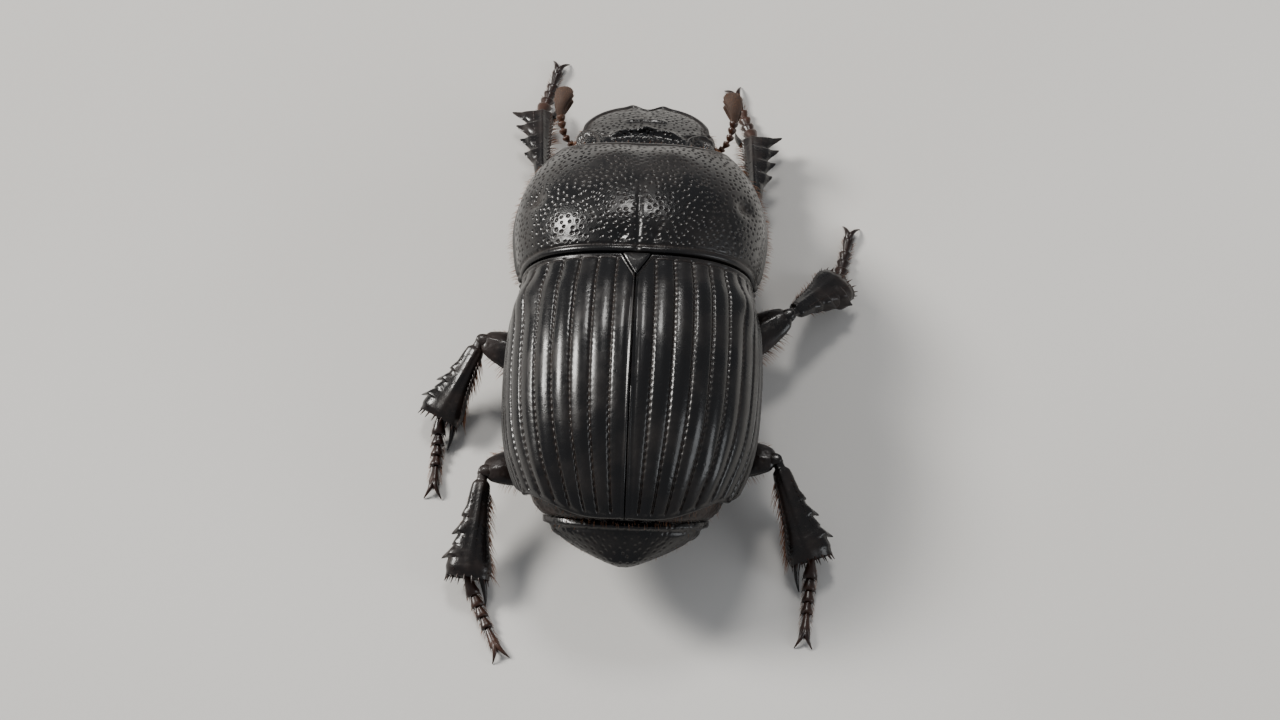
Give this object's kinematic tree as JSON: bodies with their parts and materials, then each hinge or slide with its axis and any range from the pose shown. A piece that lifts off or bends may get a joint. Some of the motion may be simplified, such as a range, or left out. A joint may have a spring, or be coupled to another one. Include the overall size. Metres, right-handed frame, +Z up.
{
  "type": "dung beetle",
  "caption": "Life-size still model of a long-bodied black dung beetle in mid stride, its legs spread and its toothed fore shins reaching past the head shield.",
  "frame": {"origin": "on the floor under the middle of the beetle's box", "axes": "+Z up; the beetle heads towards -Y, its own left side is at +X"},
  "size_m": [0.0248, 0.0404, 0.0118],
  "materials": {
    "shell": "black chitin, finely punctured, satin gloss",
    "underside": "black-brown chitin, satin, with rusty hair",
    "leg": "black chitin, glossy on the thighs, with rusty bristles",
    "foot": "dark red-brown chitin",
    "eye": "dark brown, very glossy, finely faceted",
    "feeler": "red-brown, with a matt velvety club"
  },
  "bodies": {
    "root": {"head": "shell", "eye_left": "eye", "eye_right": "eye", "antenna_left": "feeler", "antenna_right": "feeler", "mouthparts": "feeler", "pronotum": "shell", "scutellum": "shell", "wing_case_left": "shell", "wing_case_right": "shell", "prosternum": "underside", "metasternum": "underside", "abdomen": "underside", "pygidium": "shell", "femur_fore_left": "leg", "femur_fore_right": "leg", "femur_middle_left": "leg", "femur_middle_right": "leg", "femur_hind_left": "leg", "femur_hind_right": "leg", "tibia_fore_left": "leg", "tibia_fore_right": "leg", "tibia_middle_left": "leg", "tibia_middle_right": "leg", "tibia_hind_left": "leg", "tibia_hind_right": "leg", "tarsus_fore_left": "foot", "tarsus_fore_right": "foot", "tarsus_middle_left": "foot", "tarsus_middle_right": "foot", "tarsus_hind_left": "foot", "tarsus_hind_right": "foot"}
  },
  "joints": []
}
